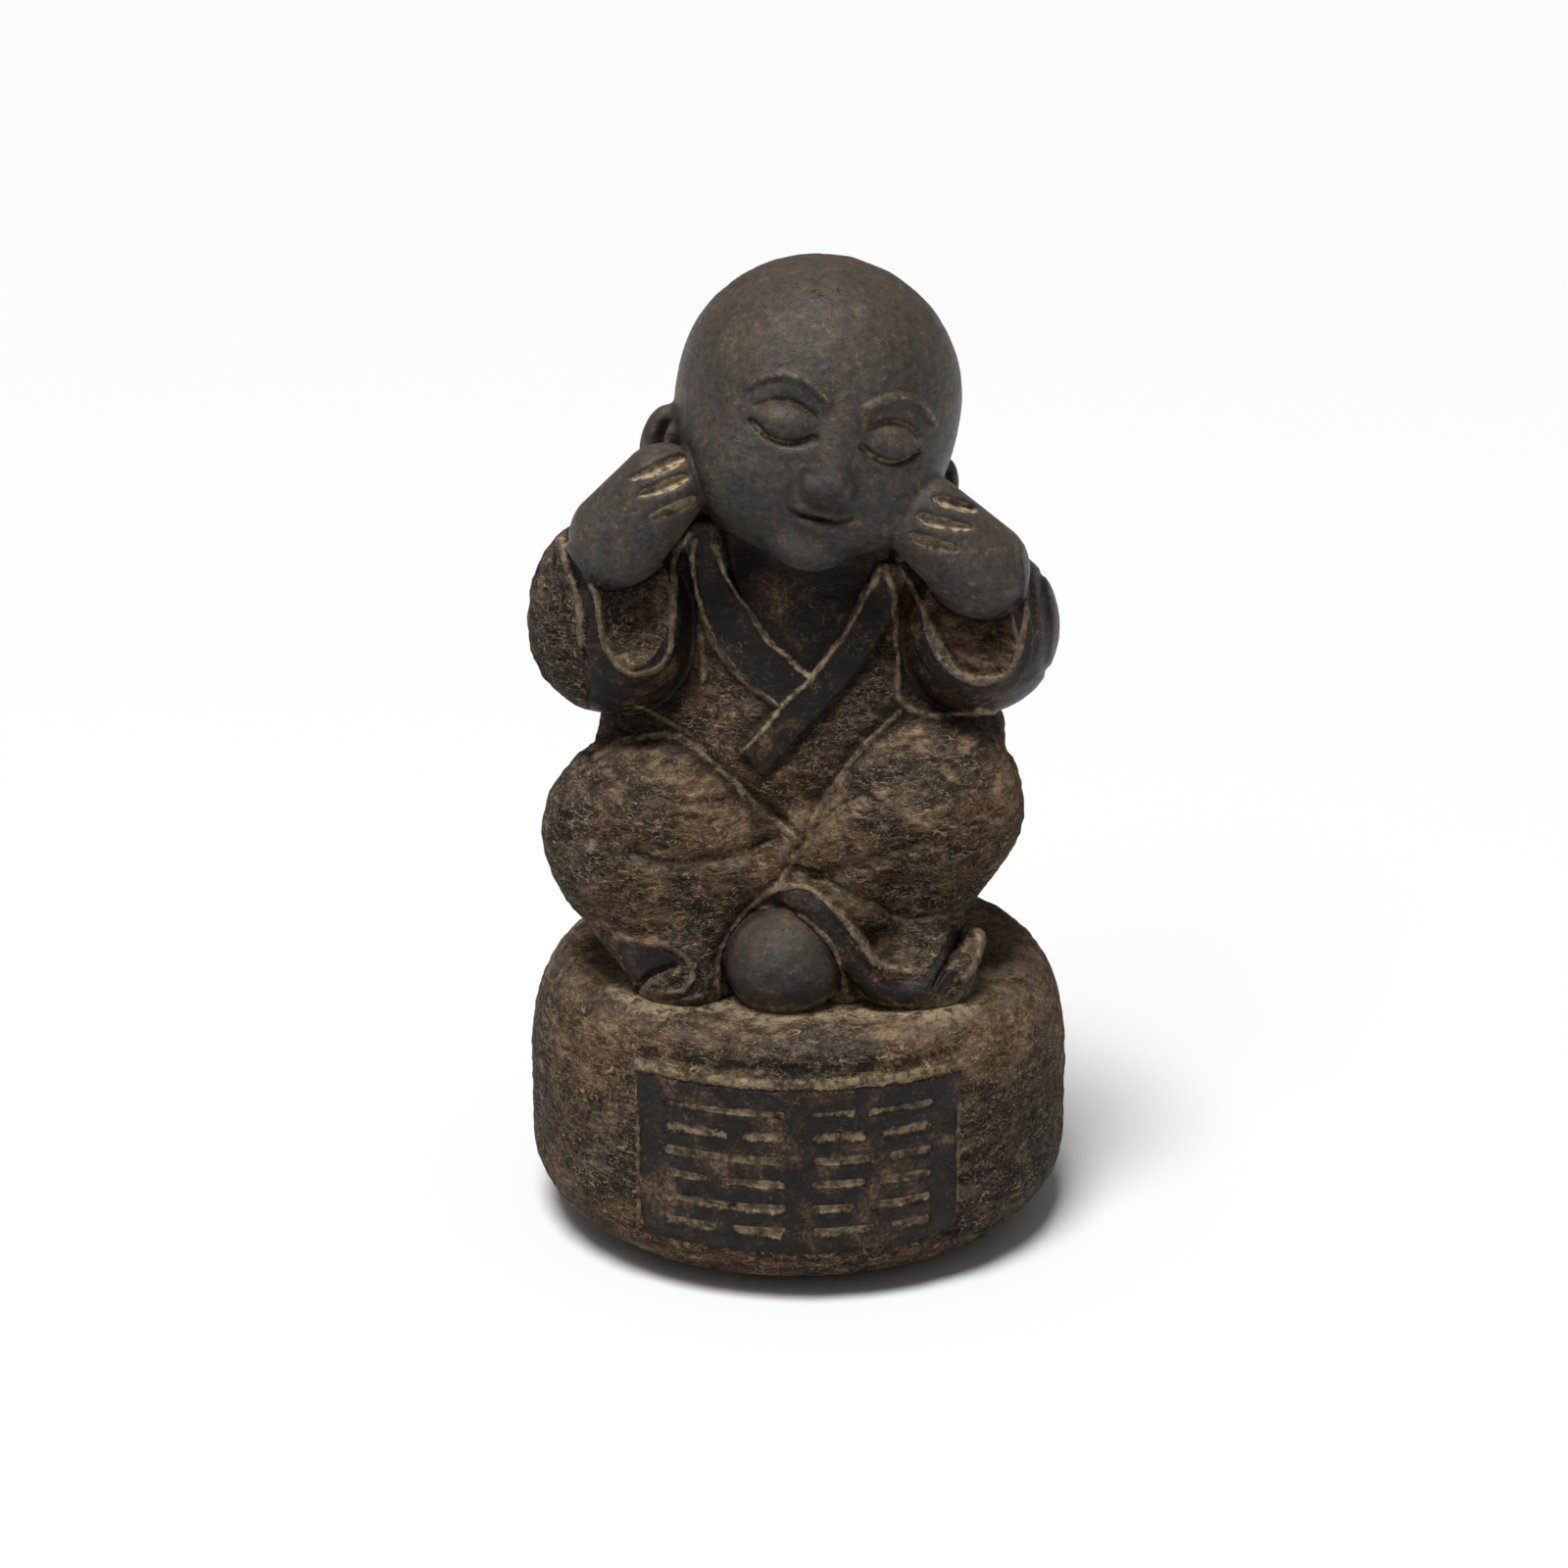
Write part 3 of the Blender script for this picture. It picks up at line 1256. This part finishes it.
# Each noise in the stone: its scale, detail, roughness and distortion.
NOISES = {
    "rough clouds": (60.0, 9.0, 0.76, 0.5),
    "stretches": (17.0, 3.0, 0.55),
    "rough grain": (360.0, 4.0, 0.78, 0.4),
    "chips": (150.0, 8.0, 0.68, 0.6),
    "smooth clouds": (62.0, 9.0, 0.72, 0.4),
    "smooth grain": (700.0, 3.0, 0.7),
    "speckle": (330.0, 5.0, 0.75),
    "ragged edges": (240.0, 6.0, 0.7),
    "dust grit": (380.0, 6.0, 0.72),
    "dust drift": (55.0, 2.0, 0.5),
    "dust tone": (260.0, 5.0, 0.7),
}


def noisy(tree, name, vector):
    return textured(tree, vector, *NOISES[name])


def straw_group():
    """Thin curling scratches: the narrow band where a warped noise crosses its middle value."""
    group = bpy.data.node_groups.new("Straw Streaks", "ShaderNodeTree")
    defaults = {"Scale": 200.0, "Width": 0.03, "Cover": 0.5}
    group.interface.new_socket(name="Vector", in_out="INPUT", socket_type="NodeSocketVector")
    for name, value in defaults.items():
        socket = group.interface.new_socket(name=name, in_out="INPUT", socket_type="NodeSocketFloat")
        socket.default_value = value
    group.interface.new_socket(name="Mask", in_out="OUTPUT", socket_type="NodeSocketFloat")
    given = put(group, "NodeGroupInput").outputs
    curls = textured(group, given["Vector"], given["Scale"], 1.2, 0.45, 0.9)
    off = math_node(group, "ABSOLUTE", less(group, curls, 0.5))
    streak = between(group, math_node(group, "DIVIDE", off, given["Width"]), 1.0, 0.25)
    patches = textured(group, given["Vector"], scaled(group, given["Scale"], 0.6), 3.0, 0.65)
    lift = less(group, patches, less(group, 1.0, given["Cover"]))
    patch = between(group, lift, -0.05, 0.07)
    put(group, "NodeGroupOutput", Mask=scaled(group, streak, patch))
    return group


def streaked(tree, straw, vector, scale, width, cover):
    inputs = {"Vector": vector, "Scale": scale, "Width": width, "Cover": cover}
    return put(tree, "ShaderNodeGroup", {"node_tree": straw}, **inputs).outputs["Mask"]


def rough_stone(tree, grained, colours, straw, chips, top, place):
    """Pecked stone, dark in its hollows and tan on its high spots. Gives colour and streaks."""
    clouds = scaled(tree, noisy(tree, "rough clouds", grained), 0.38)
    mixture = added(tree, clouds, scaled(tree, chips, 0.34))
    even = added(tree, mixture, scaled(tree, noisy(tree, "rough grain", grained), 0.28))
    raised = less(tree, scaled(tree, top, 0.065), 0.018)
    value = added(tree, even, raised)
    warm = ramp(
        tree,
        value,
        [
            (0.43, colours.deep, 1.0),
            (0.475, colours.brown, 0.8),
            (0.51, colours.brown, 1.5),
            (0.55, colours.tan, 0.85),
            (0.59, colours.tan, 1.7),
        ],
    )
    cool = ramp(
        tree,
        value,
        [
            (0.44, colours.deep, 0.7),
            (0.485, colours.plum, 0.8),
            (0.52, colours.plum, 1.7),
            (0.56, colours.tan, 0.7),
            (0.6, colours.tan, 1.7),
        ],
    )
    stone = mixed(tree, between(tree, noisy(tree, "stretches", place), 0.43, 0.6), warm, cool)
    base = mixed(tree, scaled(tree, top, 0.1), stone, colour4(colours.powder))
    long_marks = streaked(tree, straw, grained, 190.0, 0.022, 0.5)
    short_marks = streaked(tree, straw, grained, 430.0, 0.038, 0.56)
    streaks = larger(tree, long_marks, scaled(tree, short_marks, 0.75))
    return mixed(tree, scaled(tree, streaks, 0.85), base, colour4(colours.straw, 1.25)), streaks


def smooth_stone(tree, place, colours, straw, light, top):
    """Rubbed stone: nearly black, or charcoal where it is skin, with brown patches and fine pale flecks."""
    clouds = noisy(tree, "smooth clouds", place)
    grain = scaled(tree, noisy(tree, "smooth grain", place), 0.3)
    black = ramp(
        tree,
        added(tree, scaled(tree, clouds, 0.7), grain),
        [
            (0.44, colours.polished, 0.6),
            (0.51, colours.polished, 1.0),
            (0.545, colours.brown, 0.4),
            (0.58, colours.brown, 0.75),
            (0.63, colours.tan, 0.6),
        ],
    )
    speckle = scaled(tree, noisy(tree, "speckle", place), 0.65)
    even = added(tree, scaled(tree, clouds, 0.35), speckle)
    charcoal = ramp(
        tree,
        less(tree, even, scaled(tree, top, 0.012)),
        [
            (0.42, colours.skin, 0.5),
            (0.48, colours.skin, 0.9),
            (0.53, colours.skin, 1.1),
            (0.57, colours.tan, 0.32),
            (0.63, colours.tan, 0.65),
        ],
    )
    powdered = mixed(tree, scaled(tree, top, 0.2), charcoal, colour4(colours.tan))
    base = mixed(tree, light, black, powdered)
    hairs = streaked(tree, straw, place, 300.0, 0.02, 0.44)
    return mixed(tree, scaled(tree, hairs, 0.38), base, colour4(colours.straw, 0.7))


def dust_layer(tree, place, colours, stone, dust_away, top):
    """Pale dust laid over the stone near its lines, brightest on what faces up. Gives colour and cover."""
    grit = scaled(tree, noisy(tree, "dust grit", place), 0.85)
    patchy = added(tree, grit, scaled(tree, noisy(tree, "dust drift", place), 0.6))
    edge = added(tree, dust_away, less(tree, patchy, 0.725))
    cover = between(tree, edge, 0.36, 0.12)
    tone = noisy(tree, "dust tone", place)
    shares = ((0.38, 0.3), (0.49, 0.75), (0.58, 1.4))
    dusty = ramp(tree, tone, [(position, colours.dirt, share) for position, share in shares])
    lit = scaled(tree, between(tree, tone, 0.4, 0.56), between(tree, top, 0.55, 1.0, 0.0, 0.9))
    pale = mixed(tree, lit, dusty, colour4(colours.dirt, 2.3))
    return mixed(tree, scaled(tree, cover, 0.82), stone, pale), cover


def stone_material(colours):
    """Dark stone, rough and streaked where pecked, satin where rubbed, dusty on edges and in grooves."""
    material = bpy.data.materials.new("weathered_dark_stone")
    material.use_nodes = True
    tree = material.node_tree
    tree.nodes.clear()
    place = put(tree, "ShaderNodeTexCoord").outputs["Object"]
    rubbed, light, top = [marked(tree, name) for name in ("rubbed", "light", "top")]
    straw = straw_group()
    grain_lean = (math.radians(12), math.radians(-14), 0)
    grain_stretch = (0.8, 0.8, 1.75)
    mapping = put(tree, "ShaderNodeMapping", Vector=place, Rotation=grain_lean, Scale=grain_stretch)
    grained = mapping.outputs["Vector"]
    chips = noisy(tree, "chips", grained)

    rough_colour, streaks = rough_stone(tree, grained, colours, straw, chips, top, place)
    smooth_colour = smooth_stone(tree, place, colours, straw, light, top)
    ragged = less(tree, noisy(tree, "ragged edges", place), 0.5)
    border = added(tree, rubbed, scaled(tree, ragged, 1.1))
    smooth = between(tree, border, 0.3, 0.62)
    stone = mixed(tree, smooth, rough_colour, smooth_colour)
    wear = between(tree, added(tree, marked(tree, "worn"), ragged), 0.4, 0.75)
    stone = mixed(tree, scaled(tree, wear, 0.55), stone, colour4(colours.powder, 1.35))
    gloom = between(tree, marked(tree, "shelter"), 0.0, 1.0)
    stone = mixed(tree, scaled(tree, gloom, 0.65), stone, colour4(colours.deep, 0.7))
    coloured, dust = dust_layer(tree, place, colours, stone, marked(tree, "dust_away"), top)

    satin = between(tree, smooth, 0.0, 1.0, 0.75, 0.4)
    uneven = added(tree, satin, scaled(tree, ragged, 0.4))
    roughness = larger(tree, uneven, scaled(tree, dust, 0.8))
    glow = between(tree, light, 0.0, 1.0, 0.2, 0.27)
    sheen = larger(tree, scaled(tree, glow, smooth), 0.12)
    quiet = between(tree, smooth, 0.0, 1.0, 1.0, 0.14)
    height = scaled(tree, added(tree, chips, scaled(tree, streaks, 0.1)), quiet)
    bump = put(tree, "ShaderNodeBump", Strength=1.0, Distance=0.0065, Height=height).outputs[0]

    shader = put(tree, "ShaderNodeBsdfPrincipled", Base_Color=coloured, Roughness=roughness, Normal=bump)
    tree.links.new(sheen, shader.inputs["Specular IOR Level"])
    put(tree, "ShaderNodeOutputMaterial", Surface=shader.outputs[0])
    return material


class STATUE_OT_carve(bpy.types.Operator):
    """Carve the figure, the ball and the drum as one weathered stone"""

    bl_idname = "statue.carve"
    bl_label = "Carve the Statue"

    def execute(self, context):
        shape = context.scene.statue_shape
        figure = Figure()
        scale = (NODE_HIGH[2] - shape.plinth_height) / LAYOUT_HEIGHT
        seat = np.array([0, 0, shape.plinth_height])
        coarser = 1.0
        cell = shape.cell / scale * coarser
        grid = Grid(figure, LAYOUT_LOW, LAYOUT_HIGH, cell)
        points, quads = grid.surface()
        points, triangles = thinned(grid.settled(points), quads, shape.triangles)
        world = points * scale + seat
        drum, drum_quads, drum_marks = drum_mesh(shape)
        own = figure_finish(figure, grid, points)
        below = drum_finish(shape, drum, figure(*((drum - seat) / scale).T), drum_marks)

        places = np.vstack([world, drum])
        quads = drum_quads + len(world)
        mesh = mesh_from("carved_statue", places, triangles.tolist() + quads.tolist())
        mesh.validate()
        normals = np.empty(len(mesh.vertices) * 3, np.float32)
        mesh.vertex_normals.foreach_get("vector", normals)
        normals = normals.reshape(-1, 3)
        marks = {name: np.concatenate([own[name], below[name]]) for name in own}
        marks["top"] = np.maximum(normals[:, 2], marks["top"])
        places = pecked(shape, places, normals, marks)
        mesh.vertices.foreach_set("co", places.ravel())
        for name, values in marks.items():
            attribute = mesh.attributes.new(name, "FLOAT", "POINT")
            attribute.data.foreach_set("value", np.clip(values, 0, 1).astype(np.float32))
        mesh.polygons.foreach_set("use_smooth", [True] * len(mesh.polygons))
        mesh.materials.append(stone_material(context.scene.statue_colours))
        mesh.update()
        statue = bpy.data.objects.new("carved_statue", mesh)
        context.scene.collection.objects.link(statue)
        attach(statue, "root")
        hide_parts(NODE)
        return {"FINISHED"}


# The photograph's camera, in front of the statue and above its head.
CAMERA_PLACE = Vector((0, -1421.9 * MM, 662.7 * MM))
CAMERA_AIM = Vector((-5.4 * MM, 0, 165 * MM))
CAMERA_LENS = 93.9
# The soft light from high in front, the disk that puts a gleam on the crown, and the room's own light.
KEY_PLACE = (-0.2, -0.46, 1.38)
KEY_SPREAD = 22
KEY_STRENGTH = 3.5
GLEAM_PLACE = (-0.45, -0.8, 1.3)
GLEAM_AIM = (0, 0, 0.2)
GLEAM_SIZE = 0.4
GLEAM_POWER = 1.5
ROOM_STRENGTH = 0.19
FLOOR_HALF = 6.0
FLOOR_ROUGHNESS = 0.9


def add_sun(name, place, spread, strength):
    """A broad even light from the direction of place."""
    light = bpy.data.lights.new(name, "SUN")
    light.energy = strength
    light.angle = math.radians(spread)
    lamp = bpy.data.objects.new(name, light)
    lamp.rotation_euler = (-Vector(place)).to_track_quat("-Z", "Y").to_euler()
    bpy.context.scene.collection.objects.link(lamp)


def add_area(name, place, aim, size, power):
    light = bpy.data.lights.new(name, "AREA")
    light.shape = "DISK"
    light.size = size
    light.energy = power
    lamp = bpy.data.objects.new(name, light)
    lamp.location = place
    lamp.rotation_euler = (Vector(aim) - Vector(place)).to_track_quat("-Z", "Y").to_euler()
    bpy.context.scene.collection.objects.link(lamp)


class STATUE_OT_stage(bpy.types.Operator):
    """Set the pale floor, the soft studio lights and the camera"""

    bl_idname = "statue.stage"
    bl_label = "Set the Stage"

    def execute(self, context):
        scene = context.scene
        scene.view_settings.view_transform = "Standard"
        mesh = bpy.data.meshes.new("studio_floor")
        corners = [(x * FLOOR_HALF, y * FLOOR_HALF, 0) for x, y in ((-1, -1), (1, -1), (1, 1), (-1, 1))]
        mesh.from_pydata(corners, [], [(0, 1, 2, 3)])
        floor = bpy.data.objects.new("studio_floor", mesh)
        pale = bpy.data.materials.new("pale_floor")
        pale.use_nodes = True
        shader = pale.node_tree.nodes["Principled BSDF"]
        shader.inputs["Base Color"].default_value = colour4(scene.statue_colours.floor)
        shader.inputs["Roughness"].default_value = FLOOR_ROUGHNESS
        mesh.materials.append(pale)
        scene.collection.objects.link(floor)
        floor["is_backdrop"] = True
        world = bpy.data.worlds.new("studio")
        world.use_nodes = True
        background = world.node_tree.nodes["Background"]
        background.inputs["Color"].default_value = (1, 1, 1, 1)
        background.inputs["Strength"].default_value = ROOM_STRENGTH
        scene.world = world
        add_sun("key", KEY_PLACE, KEY_SPREAD, KEY_STRENGTH)
        add_area("gleam", GLEAM_PLACE, GLEAM_AIM, GLEAM_SIZE, GLEAM_POWER)
        camera = bpy.data.cameras.new("camera")
        camera.lens = CAMERA_LENS
        holder = bpy.data.objects.new("camera", camera)
        holder.location = CAMERA_PLACE
        holder.rotation_euler = (CAMERA_AIM - CAMERA_PLACE).to_track_quat("-Z", "Y").to_euler()
        scene.collection.objects.link(holder)
        scene.camera = holder
        return {"FINISHED"}


class STATUE_PT_panel(bpy.types.Panel):
    """Lists the statue's sizes, colours and steps"""

    bl_idname = "STATUE_PT_panel"
    bl_label = "Carved Statue"
    bl_space_type = "VIEW_3D"
    bl_region_type = "UI"
    bl_category = "Statue"

    def draw(self, context):
        for group in (context.scene.statue_shape, context.scene.statue_colours):
            for name in group.__annotations__:
                self.layout.prop(group, name)
        self.layout.operator("statue.carve")
        self.layout.operator("statue.stage")


CLASSES = (StatueShape, StatueColours, STATUE_OT_carve, STATUE_OT_stage, STATUE_PT_panel)


def register():
    for cls in CLASSES:
        bpy.utils.register_class(cls)
    bpy.types.Scene.statue_shape = bpy.props.PointerProperty(type=StatueShape)
    bpy.types.Scene.statue_colours = bpy.props.PointerProperty(type=StatueColours)


def unregister():
    del bpy.types.Scene.statue_colours
    del bpy.types.Scene.statue_shape
    for cls in reversed(CLASSES):
        bpy.utils.unregister_class(cls)


def main():
    register()
    bpy.ops.statue.carve()
    bpy.ops.statue.stage()
    sizes = {"cad": CAD_BOX, "visual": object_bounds()}
    {name: [list(corner) for corner in box] for name, box in sizes.items()}


if __name__ == "__main__":
    main()
